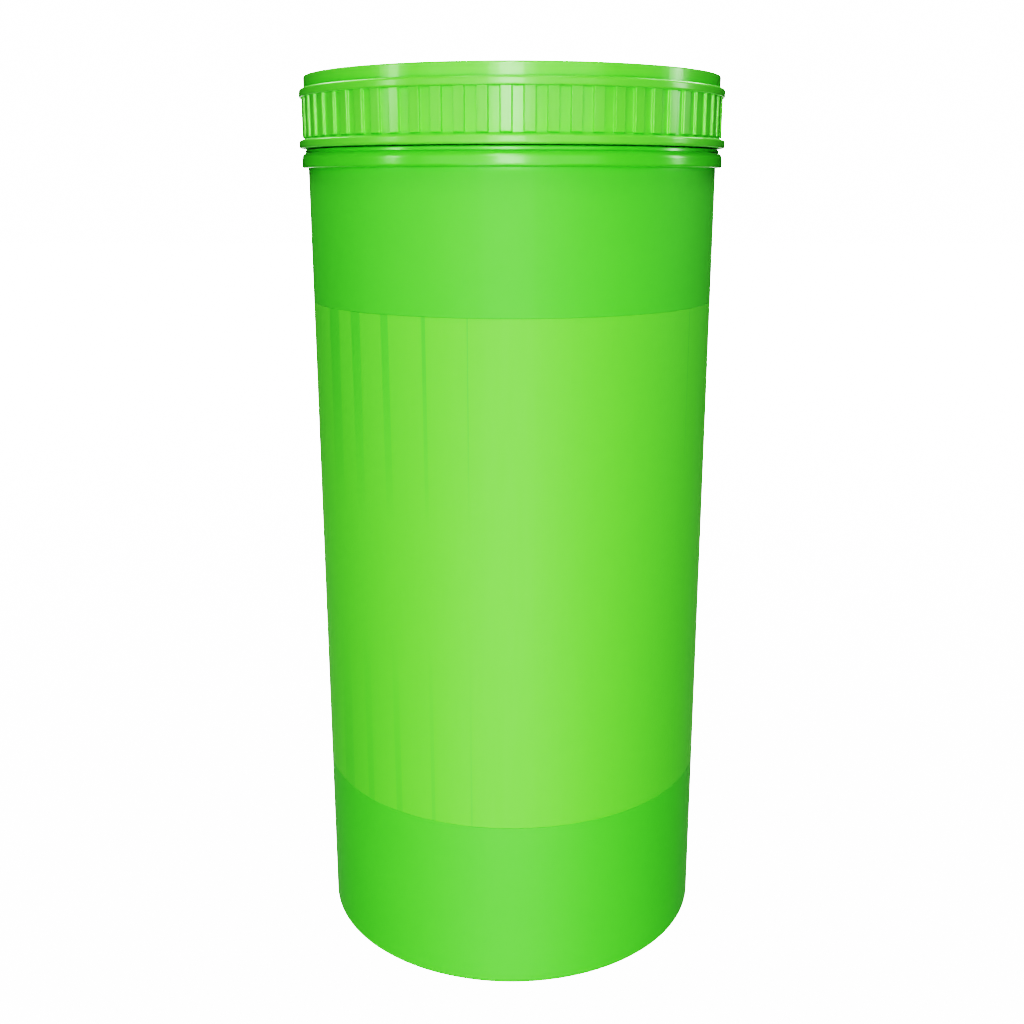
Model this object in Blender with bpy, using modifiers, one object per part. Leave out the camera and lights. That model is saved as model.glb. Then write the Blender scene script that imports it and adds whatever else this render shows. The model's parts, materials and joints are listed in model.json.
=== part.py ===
"""Disinfectant jar: a tall screw-top jar whose lid carries a lift-out tool basket.

Metres, +Z up. The origin is the centre of the face the jar stands on, and the front is -Y.
Everything turned lies on the Z axis, which is also the axis of every joint.
"""

import math

import bmesh
import bpy
from mathutils import Matrix, Vector

MM = 0.001
GAP = 0.3 * MM  # between pieces that touch
ROD_RADIUS = 3.0 * MM
ROD_HOLE = 3.4 * MM  # clearance hole for the rod

# Jar
BODY_RADIUS = 53.3 * MM
WALL = 2.2 * MM
FLOOR_TOP = 4.2 * MM
FOOT_RECESS = 1.5 * MM
BEAD_RADIUS = 54.9 * MM
BEAD_BOTTOM = 210.8 * MM
BEAD_TOP = 213.9 * MM
COLLAR_RADIUS = 53.9 * MM
COLLAR_TOP = 215.3 * MM
NECK_RADIUS = 50.4 * MM
MOUTH_RADIUS = 48.4 * MM
MOUTH_TOP = 225.8 * MM

# Label, a film set flush in a shallow panel
LABEL_BOTTOM = 46.5 * MM
LABEL_TOP = 176.6 * MM
LABEL_THICKNESS = 0.3 * MM

# Lid
LID_BOTTOM = 215.6 * MM
LID_TOP = 233.2 * MM
LID_PANEL_TOP = 230.2 * MM
LID_PANEL_BOTTOM = 228.0 * MM
SKIRT_RADIUS = 53.7 * MM
SKIRT_BORE = 51.9 * MM
RIM_RADIUS = 53.8 * MM
LOWER_BEAD_RADIUS = 55.4 * MM
LOWER_BEAD_TOP = 218.1 * MM
UPPER_BEAD_RADIUS = 55.05 * MM
UPPER_BEAD_BOTTOM = 228.0 * MM
UPPER_BEAD_TOP = 230.05 * MM
RIB_COUNT = 64
RIB_RADIUS = 54.5 * MM
RIB_OFFSET = -0.25  # of a rib's pitch, from the front of the lid to the nearest rib's middle
GASKET_THICKNESS = 1.6 * MM

# Thread: single start, right-handed
PITCH = 5.0 * MM
THREAD_ROOT = 2.2 * MM
THREAD_CREST = 1.2 * MM
THREAD_SINK = 0.6 * MM  # how far a ridge reaches into its wall
THREAD_FADE = 0.06  # of a turn, at each end
THREAD_END = 0.2  # of a ridge's height, left at its ends inside the wall
JAR_THREAD_CREST = 51.45 * MM
JAR_THREAD_BOTTOM = 216.8 * MM
JAR_THREAD_TURNS = 1.4
LID_THREAD_CREST = 50.75 * MM
LID_THREAD_TURNS = 0.9
LID_THREAD_START = 0.45  # of a turn along the jar's thread
LID_THREAD_DROP = 1.9 * MM  # lid ridge below the jar ridge that holds it

# Swivel in the lid's centre
TURN_RISE = PITCH  # one turn frees the lid
BOSS_RADIUS = 10.6 * MM
BOSS_BORE = 8.0 * MM
BOSS_BOTTOM = 214.0 * MM
BOSS_BORE_TOP = 227.2 * MM
SNAP_GROOVE = 0.8 * MM
SNAP_HEIGHT = 215.9 * MM
BUTTON_RADIUS = 6.4 * MM
BUTTON_HEIGHT = 3.9 * MM
BUTTON_BOTTOM = 222.8 * MM
BUSH_TOP = BUTTON_BOTTOM - TURN_RISE - GAP

# Basket
TRAY_RADIUS = 47.2 * MM
TRAY_BOTTOM = 11.0 * MM
PLATE = 2.4 * MM
TRAY_RIM_TOP = 23.0 * MM
TRAY_HUB_TOP = 18.0 * MM
HUB_RADIUS = 7.5 * MM
GUIDE_BOTTOM = 124.0 * MM
GUIDE_RIM_TOP = 131.0 * MM
GUIDE_HOLE_RADIUS = 11.5 * MM
GUIDE_HOLE_CIRCLE = 29.5 * MM
GUIDE_HOLES = 6
DRAIN_RADIUS = 3.5 * MM
DRAIN_RINGS = ((15.5 * MM, 6), (27.0 * MM, 12), (39.0 * MM, 18))
FOOT_CIRCLE = 32.5 * MM
FEET = 3
FOOT_PHASE = 0.25  # of the step between feet, past +X
FOOT_RADIUS = 5.0 * MM
FOOT_STEM = 2.2 * MM

RING_STEPS = 60
SMALL_STEPS = 20
HOLE_STEPS = 8


# ---------------------------------------------------------------- helpers

def clear_scene():
    for obj in list(bpy.data.objects):
        bpy.data.objects.remove(obj, do_unlink=True)


def new_collection(name, hidden=False):
    collection = bpy.data.collections.new(name)
    bpy.context.scene.collection.children.link(collection)
    collection.hide_render = hidden
    return collection


def new_material(name, colour, roughness, metallic=0.0):
    material = bpy.data.materials.new(name)
    material.use_nodes = True
    shader = material.node_tree.nodes["Principled BSDF"]
    shader.inputs["Base Color"].default_value = (*colour, 1.0)
    shader.inputs["Roughness"].default_value = roughness
    shader.inputs["Metallic"].default_value = metallic
    return material


def new_object(name, mesh, material=None, parent=None):
    """A part of the jar, or with no material a cutter or ridge that only shapes one."""
    obj = bpy.data.objects.new(name, mesh)
    if material:
        PARTS.objects.link(obj)
        mesh.materials.append(material)
        obj.parent = parent
    else:
        SHAPERS.objects.link(obj)
        obj.hide_render = True
        obj.display_type = "WIRE"
    return obj


def filleted(outline):
    """The (radius, height) points of an outline whose corners are (r, z) or (r, z, fillet, steps)."""
    points = []
    for index, corner in enumerate(outline):
        here = Vector(corner[:2])
        if len(corner) == 2:
            points.append(here)
            continue
        fillet, steps = corner[2:]
        before = (Vector(outline[index - 1][:2]) - here).normalized()
        after = (Vector(outline[(index + 1) % len(outline)][:2]) - here).normalized()
        half = before.angle(after) / 2
        centre = here + (before + after).normalized() * fillet / math.sin(half)
        start = here + before * fillet / math.tan(half) - centre
        turn = start.angle_signed(here + after * fillet / math.tan(half) - centre)
        for step in range(steps + 1):
            spoke = start.copy()
            spoke.rotate(Matrix.Rotation(-turn * step / steps, 2))
            points.append(centre + spoke)
    return points


def turned(name, outline, material=None, parent=None, steps=RING_STEPS, closed=False):
    """An outline spun about Z. It runs down the outer side, so that the faces point out."""
    points = filleted(outline)
    count = len(points)
    edges = [(i, (i + 1) % count) for i in range(count if closed else count - 1)]
    mesh = bpy.data.meshes.new(name)
    mesh.from_pydata([(r, 0, z) for r, z in points], edges, [])
    obj = new_object(name, mesh, material, parent)
    screw = obj.modifiers.new("turn", "SCREW")
    screw.steps = screw.render_steps = steps
    screw.use_merge_vertices = True
    screw.merge_threshold = 0.00001
    return obj


def ring(name, bore, radius, bottom, top, material=None, parent=None, steps=SMALL_STEPS):
    """A plain turned ring or tube."""
    outline = [(radius, top), (radius, bottom), (bore, bottom), (bore, top)]
    return turned(name, outline, material, parent, steps, closed=True)


def shape_with(obj, shaper, operation):
    boolean = obj.modifiers.new(shaper.name, "BOOLEAN")
    boolean.operation = operation
    boolean.object = shaper
    boolean.solver = "EXACT"


def round_cutters(name, centres, radius, bottom, top, steps=HOLE_STEPS):
    """One cutter made of an upright cylinder at each (x, y)."""
    bm = bmesh.new()
    for x, y in centres:
        place = Matrix.Translation((x, y, (bottom + top) / 2))
        bmesh.ops.create_cone(
            bm, cap_ends=True, segments=steps, radius1=radius, radius2=radius,
            depth=top - bottom, matrix=place,
        )
    mesh = bpy.data.meshes.new(name)
    bm.to_mesh(mesh)
    bm.free()
    return new_object(name, mesh)


def on_circle(radius, count, phase=0.0):
    """Points evenly round Z, phase in steps past +X."""
    angles = [2 * math.pi * (i + phase) / count for i in range(count)]
    return [(radius * math.cos(a), radius * math.sin(a)) for a in angles]


def thread_ridge(name, wall, crest, bottom, start, turns):
    """A trapezoid spun along the helix that passes height bottom at angle 0.

    It begins start turns along that helix, runs for so many turns, and sinks into the wall
    at both ends.
    """
    root = wall - math.copysign(THREAD_SINK, crest - wall)
    low = bottom + start * PITCH
    bm = bmesh.new()
    section = [
        (root, -THREAD_ROOT / 2), (crest, -THREAD_CREST / 2),
        (crest, THREAD_CREST / 2), (root, THREAD_ROOT / 2),
    ]
    face = bm.faces.new([bm.verts.new((r, 0, low + z)) for r, z in section])
    steps = round(turns * RING_STEPS)
    bmesh.ops.spin(
        bm, geom=[face], cent=(0, 0, 0), axis=(0, 0, 1), angle=turns * 2 * math.pi,
        dvec=(0, 0, turns * PITCH / steps), steps=steps, use_duplicate=False,
    )
    for vertex in bm.verts:
        fraction = math.atan2(vertex.co.y, vertex.co.x) / (2 * math.pi)
        along = round((vertex.co.z - low) / PITCH - fraction) + fraction
        height = min(1.0, max(THREAD_END, min(along, turns - along) / THREAD_FADE))
        radius = vertex.co.xy.length
        faded = root + (radius - root) * height
        vertex.co.x *= faded / radius
        vertex.co.y *= faded / radius
    bmesh.ops.rotate(bm, verts=bm.verts, matrix=Matrix.Rotation(start * 2 * math.pi, 3, "Z"))
    bmesh.ops.recalc_face_normals(bm, faces=bm.faces)
    mesh = bpy.data.meshes.new(name)
    bm.to_mesh(mesh)
    bm.free()
    return new_object(name, mesh)


# ---------------------------------------------------------------- jar

def make_jar_body():
    inside = BODY_RADIUS - WALL
    label_seat = BODY_RADIUS - LABEL_THICKNESS - GAP
    jar = turned("jar_body", [
        (0, FLOOR_TOP),
        (inside, FLOOR_TOP, 3 * MM, 2),
        (inside, 204 * MM),
        (MOUTH_RADIUS, 210.5 * MM),
        (MOUTH_RADIUS, MOUTH_TOP, 0.5 * MM, 1),
        (NECK_RADIUS, MOUTH_TOP, 0.5 * MM, 1),
        (NECK_RADIUS, COLLAR_TOP),
        (COLLAR_RADIUS, COLLAR_TOP, 0.3 * MM, 1),
        (COLLAR_RADIUS, BEAD_TOP),
        (BEAD_RADIUS, BEAD_TOP, 0.8 * MM, 2),
        (BEAD_RADIUS, BEAD_BOTTOM, 0.5 * MM, 1),
        (BODY_RADIUS, BEAD_BOTTOM),
        (BODY_RADIUS, LABEL_TOP + GAP),
        (label_seat, LABEL_TOP + GAP),
        (label_seat, LABEL_BOTTOM - GAP),
        (BODY_RADIUS, LABEL_BOTTOM - GAP),
        (BODY_RADIUS, 0, 1.2 * MM, 2),
        (46 * MM, 0),
        (44.5 * MM, FOOT_RECESS),
        (0, FOOT_RECESS),
    ], GREEN)
    ridge = thread_ridge(
        "jar_thread", NECK_RADIUS, JAR_THREAD_CREST, JAR_THREAD_BOTTOM, 0, JAR_THREAD_TURNS
    )
    shape_with(jar, ridge, "UNION")


def make_label():
    inner = BODY_RADIUS - LABEL_THICKNESS
    ring("label", inner, BODY_RADIUS, LABEL_BOTTOM, LABEL_TOP, LABEL, steps=RING_STEPS)


# ---------------------------------------------------------------- lid

def grip_ribs():
    """The upright bars round the skirt, each half a pitch wide and rooted in both beads."""
    root = (SKIRT_RADIUS + SKIRT_BORE) / 2
    low = LOWER_BEAD_TOP - 1.5 * MM
    high = UPPER_BEAD_BOTTOM + 1.0 * MM
    width = math.pi * RIB_RADIUS / RIB_COUNT
    size = Matrix.Diagonal((width, RIB_RADIUS - root, high - low, 1))
    place = Matrix.Translation((0, -(RIB_RADIUS + root) / 2, (low + high) / 2))
    bm = bmesh.new()
    for index in range(RIB_COUNT):
        angle = 2 * math.pi * (index + RIB_OFFSET) / RIB_COUNT
        spin = Matrix.Rotation(angle, 4, "Z")
        bmesh.ops.create_cube(bm, size=1, matrix=spin @ place @ size)
    mesh = bpy.data.meshes.new("grip_ribs")
    bm.to_mesh(mesh)
    bm.free()
    return new_object("grip_ribs", mesh)


def make_lid_shell(parent):
    snap = BOSS_BORE + SNAP_GROOVE
    lid = turned("lid_shell", [
        (0, LID_PANEL_TOP),
        (SKIRT_BORE, LID_PANEL_TOP, 0.6 * MM, 1),
        (SKIRT_BORE, LID_TOP, 0.4 * MM, 1),
        (RIM_RADIUS, LID_TOP, 0.6 * MM, 2),
        (RIM_RADIUS, UPPER_BEAD_TOP),
        (UPPER_BEAD_RADIUS, UPPER_BEAD_TOP, 0.6 * MM, 2),
        (UPPER_BEAD_RADIUS, UPPER_BEAD_BOTTOM, 0.3 * MM, 1),
        (SKIRT_RADIUS, UPPER_BEAD_BOTTOM),
        (SKIRT_RADIUS, LOWER_BEAD_TOP),
        (LOWER_BEAD_RADIUS, LOWER_BEAD_TOP - 0.6 * MM, 0.4 * MM, 1),
        (LOWER_BEAD_RADIUS, LID_BOTTOM, 0.5 * MM, 2),
        (SKIRT_BORE, LID_BOTTOM, 0.3 * MM, 1),
        (SKIRT_BORE, LID_PANEL_BOTTOM),
        (BOSS_RADIUS, LID_PANEL_BOTTOM, 0.8 * MM, 1),
        (BOSS_RADIUS, BOSS_BOTTOM),
        (BOSS_BORE, BOSS_BOTTOM),
        (BOSS_BORE, SNAP_HEIGHT - SNAP_GROOVE),
        (snap, SNAP_HEIGHT),
        (BOSS_BORE, SNAP_HEIGHT + SNAP_GROOVE),
        (BOSS_BORE, BOSS_BORE_TOP),
        (0, BOSS_BORE_TOP),
    ], GREEN, parent)
    ridge = thread_ridge(
        "lid_thread", SKIRT_BORE, LID_THREAD_CREST, JAR_THREAD_BOTTOM - LID_THREAD_DROP,
        LID_THREAD_START, LID_THREAD_TURNS,
    )
    shape_with(lid, ridge, "UNION")
    shape_with(lid, grip_ribs(), "UNION")


def make_lid_gasket(parent):
    top = LID_PANEL_BOTTOM - GAP
    ring(
        "lid_gasket", MOUTH_RADIUS - 1.4 * MM, SKIRT_BORE - 0.5 * MM,
        top - GASKET_THICKNESS, top, RUBBER, parent, steps=RING_STEPS,
    )


def make_swivel_bush(parent):
    """The flanged bush that snaps into the lid's boss and catches the rod's button."""
    sleeve = BOSS_BORE - GAP
    flange_top = BOSS_BOTTOM - GAP
    turned("swivel_bush", [
        (sleeve, BUSH_TOP, 0.4 * MM, 1),
        (sleeve, SNAP_HEIGHT + SNAP_GROOVE),
        (sleeve + SNAP_GROOVE - 0.1 * MM, SNAP_HEIGHT),
        (sleeve, SNAP_HEIGHT - SNAP_GROOVE),
        (sleeve, flange_top),
        (BOSS_RADIUS, flange_top),
        (BOSS_RADIUS, flange_top - 1.6 * MM, 0.4 * MM, 1),
        (ROD_HOLE, flange_top - 1.6 * MM),
        (ROD_HOLE, BUSH_TOP),
    ], NYLON, parent, SMALL_STEPS, closed=True)


# ---------------------------------------------------------------- basket

def make_lift_rod(parent):
    bottom = FLOOR_TOP + 0.9 * MM
    top = BUTTON_BOTTOM + BUTTON_HEIGHT - 1.4 * MM
    chamfer = 0.5 * MM
    turned("lift_rod", [
        (0, top),
        (ROD_RADIUS - chamfer, top),
        (ROD_RADIUS, top - chamfer),
        (ROD_RADIUS, bottom + chamfer),
        (ROD_RADIUS - chamfer, bottom),
        (0, bottom),
    ], STEEL, parent, SMALL_STEPS)


def make_rod_button(parent):
    """The turned button on the rod's top, with a blind hole for the rod."""
    top = BUTTON_BOTTOM + BUTTON_HEIGHT
    turned("rod_button", [
        (0, top),
        (BUTTON_RADIUS, top, 1.0 * MM, 1),
        (BUTTON_RADIUS, BUTTON_BOTTOM, 0.3 * MM, 1),
        (ROD_HOLE, BUTTON_BOTTOM),
        (ROD_HOLE, top - 1.1 * MM),
        (0, top - 1.1 * MM),
    ], STEEL, parent, SMALL_STEPS)


def perforated_plate(name, bottom, rim_top, hub_top, parent):
    """A plate with a hub round the rod and a low wall round its edge."""
    top = bottom + PLATE
    rim_inside = TRAY_RADIUS - 1.8 * MM
    return turned(name, [
        (TRAY_RADIUS, rim_top, 0.6 * MM, 1),
        (TRAY_RADIUS, bottom, 1.0 * MM, 1),
        (ROD_HOLE, bottom),
        (ROD_HOLE, hub_top),
        (HUB_RADIUS, hub_top, 0.5 * MM, 1),
        (HUB_RADIUS, top),
        (rim_inside, top),
        (rim_inside, rim_top, 0.6 * MM, 1),
    ], WHITE, parent, closed=True)


def make_base_tray(parent):
    tray = perforated_plate("base_tray", TRAY_BOTTOM, TRAY_RIM_TOP, TRAY_HUB_TOP, parent)
    low = TRAY_BOTTOM - MM
    high = TRAY_BOTTOM + PLATE + MM
    seats = on_circle(FOOT_CIRCLE, FEET, FOOT_PHASE)
    clear = FOOT_RADIUS + DRAIN_RADIUS + MM
    drains = []
    for radius, count in DRAIN_RINGS:
        for drain in on_circle(radius, count, 0.5):
            if all(math.dist(drain, seat) > clear for seat in seats):
                drains.append(drain)
    drain_holes = round_cutters("drain_holes", drains, DRAIN_RADIUS, low, high)
    foot_holes = round_cutters("foot_holes", seats, FOOT_STEM + GAP, low, high, SMALL_STEPS)
    shape_with(tray, drain_holes, "DIFFERENCE")
    shape_with(tray, foot_holes, "DIFFERENCE")


def make_tool_guide(parent):
    top = GUIDE_BOTTOM + PLATE
    hub_top = top + 3.6 * MM
    guide = perforated_plate("tool_guide", GUIDE_BOTTOM, GUIDE_RIM_TOP, hub_top, parent)
    places = on_circle(GUIDE_HOLE_CIRCLE, GUIDE_HOLES)
    openings = round_cutters(
        "tool_openings", places, GUIDE_HOLE_RADIUS, GUIDE_BOTTOM - MM, top + MM, SMALL_STEPS
    )
    shape_with(guide, openings, "DIFFERENCE")
    retainer_bottom = hub_top + GAP
    retainer_top = retainer_bottom + 1.2 * MM
    ring("guide_retainer", ROD_HOLE, 6.5 * MM, retainer_bottom, retainer_top, STEEL, parent)


def make_spacer_tube(parent):
    bottom = TRAY_HUB_TOP + GAP
    ring("spacer_tube", ROD_HOLE, 5.0 * MM, bottom, GUIDE_BOTTOM - GAP, STEEL, parent)


def make_tray_fixing(parent):
    """The washer and thin nut under the tray."""
    washer_top = TRAY_BOTTOM - GAP
    washer_bottom = washer_top - 1.0 * MM
    ring("tray_washer", ROD_HOLE, 6.2 * MM, washer_bottom, washer_top, STEEL, parent)
    nut_top = washer_bottom - GAP
    nut_bottom = nut_top - 3.2 * MM
    bm = bmesh.new()
    place = Matrix.Translation((0, 0, (nut_top + nut_bottom) / 2))
    across_corners = 10 * MM / math.cos(math.pi / 6)
    bmesh.ops.create_cone(
        bm, cap_ends=True, segments=6, radius1=across_corners / 2, radius2=across_corners / 2,
        depth=nut_top - nut_bottom, matrix=place,
    )
    mesh = bpy.data.meshes.new("tray_nut")
    bm.to_mesh(mesh)
    bm.free()
    nut = new_object("tray_nut", mesh, STEEL, parent)
    bore = round_cutters(
        "nut_bore", [(0, 0)], ROD_HOLE, nut_bottom - MM, nut_top + MM, SMALL_STEPS
    )
    shape_with(nut, bore, "DIFFERENCE")


def make_tray_feet(parent):
    """Push-in rubber feet: a pad below the tray, a stem through it and a barb above."""
    pad_top = TRAY_BOTTOM - GAP
    barb_bottom = TRAY_BOTTOM + PLATE + GAP
    for index, (x, y) in enumerate(on_circle(FOOT_CIRCLE, FEET, FOOT_PHASE), 1):
        foot = turned(f"tray_foot_{index}", [
            (0, barb_bottom + 2.4 * MM),
            (1.4 * MM, barb_bottom + 2.4 * MM),
            (3.4 * MM, barb_bottom),
            (FOOT_STEM, barb_bottom),
            (FOOT_STEM, pad_top),
            (FOOT_RADIUS, pad_top),
            (FOOT_RADIUS - 0.6 * MM, FLOOR_TOP + GAP),
            (0, FLOOR_TOP + GAP),
        ], RUBBER, parent, SMALL_STEPS)
        foot.location = (x, y, 0)


# ---------------------------------------------------------------- assembly

def joint_frame(name, parent=None):
    """An empty on the jar's axis, which carries what moves with the joint of that name."""
    frame = bpy.data.objects.new(name, None)
    PARTS.objects.link(frame)
    frame.parent = parent
    return frame


def settle(obj):
    """Makes the modifiers' result the object's own mesh, smooth but for its corners."""
    graph = bpy.context.evaluated_depsgraph_get()
    mesh = bpy.data.meshes.new_from_object(obj.evaluated_get(graph))
    obj.modifiers.clear()
    obj.data = mesh
    mesh.name = obj.name
    mesh.shade_smooth()
    mesh.set_sharp_from_angle(angle=math.radians(35))


clear_scene()
PARTS = new_collection("disinfectant_jar")
SHAPERS = new_collection("shapers", hidden=True)
GREEN = new_material("green_gloss_plastic", (0.18, 0.70, 0.07), 0.3)
LABEL = new_material("label_film", (0.27, 0.76, 0.11), 0.35)
RUBBER = new_material("grey_rubber", (0.12, 0.13, 0.13), 0.7)
NYLON = new_material("natural_nylon", (0.80, 0.78, 0.70), 0.45)
WHITE = new_material("white_polypropylene", (0.85, 0.86, 0.84), 0.4)
STEEL = new_material("stainless_steel", (0.62, 0.63, 0.64), 0.3, 1.0)

basket_lift = joint_frame("basket_lift")
thread_rise = joint_frame("thread_rise", basket_lift)
lid_turn = joint_frame("lid_turn", thread_rise)
make_jar_body()
make_label()
make_lid_shell(lid_turn)
make_lid_gasket(lid_turn)
make_swivel_bush(thread_rise)
make_lift_rod(basket_lift)
make_rod_button(basket_lift)
make_base_tray(basket_lift)
make_tray_feet(basket_lift)
make_tray_fixing(basket_lift)
make_spacer_tube(basket_lift)
make_tool_guide(basket_lift)
bpy.context.view_layer.update()
for part in [obj for obj in PARTS.objects if obj.type == "MESH"]:
    settle(part)
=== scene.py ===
"""Disinfectant jar: the moulded, printed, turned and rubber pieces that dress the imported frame.

Metres, +Z up, front -Y. Every round piece lies on the Z axis, and an angle round it is 0 at the
front and grows towards +X.
"""
import json
import math

import bpy
import numpy as np
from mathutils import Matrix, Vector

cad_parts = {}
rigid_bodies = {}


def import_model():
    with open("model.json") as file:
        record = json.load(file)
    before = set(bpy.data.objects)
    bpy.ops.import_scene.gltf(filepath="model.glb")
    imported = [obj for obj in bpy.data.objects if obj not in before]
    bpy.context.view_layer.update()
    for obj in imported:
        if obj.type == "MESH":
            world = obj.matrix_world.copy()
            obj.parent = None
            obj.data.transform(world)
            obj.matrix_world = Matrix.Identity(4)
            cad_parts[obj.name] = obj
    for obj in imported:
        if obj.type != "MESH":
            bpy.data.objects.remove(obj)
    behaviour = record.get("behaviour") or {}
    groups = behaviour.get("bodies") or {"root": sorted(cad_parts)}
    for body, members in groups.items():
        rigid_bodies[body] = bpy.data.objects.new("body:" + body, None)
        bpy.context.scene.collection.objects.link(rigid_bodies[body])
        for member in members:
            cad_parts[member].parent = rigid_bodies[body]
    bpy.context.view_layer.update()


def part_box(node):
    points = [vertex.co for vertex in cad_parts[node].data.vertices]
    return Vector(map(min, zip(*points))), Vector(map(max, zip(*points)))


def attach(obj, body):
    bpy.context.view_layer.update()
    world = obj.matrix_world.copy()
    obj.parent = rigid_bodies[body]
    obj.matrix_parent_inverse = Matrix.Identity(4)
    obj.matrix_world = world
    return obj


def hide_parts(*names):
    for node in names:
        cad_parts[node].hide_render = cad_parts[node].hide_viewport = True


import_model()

MM = 0.001
TURN = 2 * math.pi

# Turned sections
HOLD = 0.15 * MM  # how near a rounded corner a straight run's shading is held flat
BIG_FILLET = 0.55 * MM  # above this a fillet gets finer steps
FINE_STEP = math.radians(18)
COARSE_STEP = math.radians(30)

# Jar
WALL = 53.3 * MM  # outside radius of the wall, and of the label
SEAT = 52.7 * MM  # outside radius of the seat under the label
NECK = 50.4 * MM  # outside radius at the thread's root
BEAD_FOOT = 210.8 * MM
LABEL_GAP = 0.3 * MM  # from the label's edge to the end of its seat
LABEL_REACH = 0.27 * MM  # how far the film runs into that gap

# Grip of the cap
RIB_COUNT = 64
RIB_OFFSET = -0.25  # of a rib's pitch, from the front to the nearest rib's middle
RIB_HEIGHT = 0.8 * MM
GROOVE = 53.7 * MM  # radius between the ribs

# Screw thread: single start, right-handed
PITCH = 5.0 * MM
THREAD_ROOT = 2.2 * MM
THREAD_CREST = 1.2 * MM
THREAD_FADE = 0.06  # of a turn

# Basket
ROD_BORE = 3.4 * MM  # radius of each bore that the rod passes
PLATE = 2.4 * MM  # thickness of the tray and of the guide
PLATE_WALL = 1.8 * MM  # thickness of the low wall round them
HUB = 7.5 * MM

# Sockets of a Mix node
FACTOR, FIRST, SECOND, FIRST_COLOUR, SECOND_COLOUR = 0, 2, 3, 6, 7
MIXED, MIXED_COLOUR = 0, 2


# ---------------------------------------------------------------- shapes

def outline(corners, closed=False):
    """Radius and height along straight runs joined by round fillets, as an (n, 2) array.

    A corner is (radius, height, fillet, rows), and the last two may be left out as 0 and 1. The
    fillet's arc has its centre on the corner's bisector, at fillet / sin(half the corner), and
    turns from one run's direction to the next at an even rate. Each run keeps a point close to
    both its ends, and is cut into so many rows.
    """
    corners = [(*corner, *(0, 1)[len(corner) - 2 :]) for corner in corners]
    places = np.array([corner[:2] for corner in corners], float)
    count = len(corners)
    arcs = []
    for index, (_, _, fillet, _) in enumerate(corners):
        here = places[index]
        if not fillet:
            arcs.append(here[None])
            continue
        back = places[index - 1] - here
        ahead = places[(index + 1) % count] - here
        back = back / np.linalg.norm(back)
        ahead = ahead / np.linalg.norm(ahead)
        half = math.acos(float(np.clip(back @ ahead, -1, 1))) / 2
        bisector = (back + ahead) / np.linalg.norm(back + ahead)
        centre = here + bisector * fillet / math.sin(half)
        first = here + back * fillet / math.tan(half) - centre
        last = here + ahead * fillet / math.tan(half) - centre
        sweep = math.pi - 2 * half
        step = FINE_STEP if fillet > BIG_FILLET else COARSE_STEP
        t = np.linspace(0, 1, max(2, math.ceil(sweep / step)) + 1)[:, None]
        spokes = np.sin((1 - t) * sweep) * first + np.sin(t * sweep) * last
        arcs.append(centre + spokes / math.sin(sweep))
    parts = []
    for index, arc in enumerate(arcs):
        parts.append(arc)
        if index == count - 1 and not closed:
            break
        start, end = arc[-1], arcs[(index + 1) % count][0]
        length = np.linalg.norm(end - start)
        rows = max(1, corners[index][3])
        shares = np.arange(1, rows) / rows
        if length > 4 * HOLD:
            held = HOLD / length
            inner = shares[(shares > 1.5 * held) & (shares < 1 - 1.5 * held)]
            shares = np.concatenate([[held], inner, [1 - held]])
        parts.append(start + shares[:, None] * (end - start))
    return np.concatenate(parts)


def mesh_object(name, grid, closed=False, wrap=None):
    """A closed round surface from a (rows, columns, 3) grid whose columns run round the axis.

    Each quad joins two neighbouring rows and columns, and the last column joins the first. A row
    that has shrunk to one point becomes a pole, closed with triangles. wrap is the circumference
    for a UV map of metres round and metres up, whose seam is at the back.
    """
    rows, columns, _ = grid.shape
    spread = np.linalg.norm(grid - grid[:, :1], axis=2).max(axis=1)
    pole = spread < 1e-9
    sizes = np.where(pole, 1, columns)
    starts = np.concatenate([[0], np.cumsum(sizes)])
    points = np.concatenate([row[:1] if flat else row for row, flat in zip(grid, pole)])
    column = np.arange(columns)
    beside = (column + 1) % columns
    loops, totals = [], []
    for row in range(rows if closed else rows - 1):
        below = (row + 1) % rows
        a = starts[row] + (0 * column if pole[row] else column)
        b = starts[row] + (0 * column if pole[row] else beside)
        c = starts[below] + (0 * column if pole[below] else beside)
        d = starts[below] + (0 * column if pole[below] else column)
        if pole[row]:
            faces = np.stack([a, d, c], axis=1)
        elif pole[below]:
            faces = np.stack([a, d, b], axis=1)
        else:
            faces = np.stack([a, d, c, b], axis=1)
        loops.append(faces.ravel())
        totals.append(np.full(columns, faces.shape[1]))
    loops = np.concatenate(loops)
    totals = np.concatenate(totals)
    mesh = bpy.data.meshes.new(name)
    mesh.vertices.add(len(points))
    mesh.vertices.foreach_set("co", points.ravel())
    mesh.loops.add(len(loops))
    mesh.loops.foreach_set("vertex_index", loops)
    mesh.polygons.add(len(totals))
    mesh.polygons.foreach_set("loop_start", np.concatenate([[0], np.cumsum(totals)[:-1]]))
    mesh.update(calc_edges=True)
    mesh.validate()
    mesh.shade_smooth()
    if wrap:
        add_wrap(mesh, points[loops], np.repeat(np.arange(len(totals)), totals), wrap)
    obj = bpy.data.objects.new(name, mesh)
    bpy.context.scene.collection.objects.link(obj)
    return obj


def add_wrap(mesh, corners, faces, wrap):
    """The UV map: angle round / a turn x the circumference, and height.

    faces says which face each corner is of. The angle jumps from half a turn to minus half a turn
    at the back, so a face that touches the seam from before it keeps its angles above zero.
    """
    angle = np.arctan2(corners[:, 0], -corners[:, 1])
    widest = np.zeros(faces[-1] + 1)
    np.maximum.at(widest, faces, angle)
    near_seam = TURN / 3
    angle = np.where((widest[faces] > near_seam) & (angle < 0), angle + TURN, angle)
    layer = mesh.uv_layers.new(name="wrap")
    places = np.stack([angle / TURN * wrap, corners[:, 2]], axis=1)
    layer.data.foreach_set("uv", places.ravel())


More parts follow.
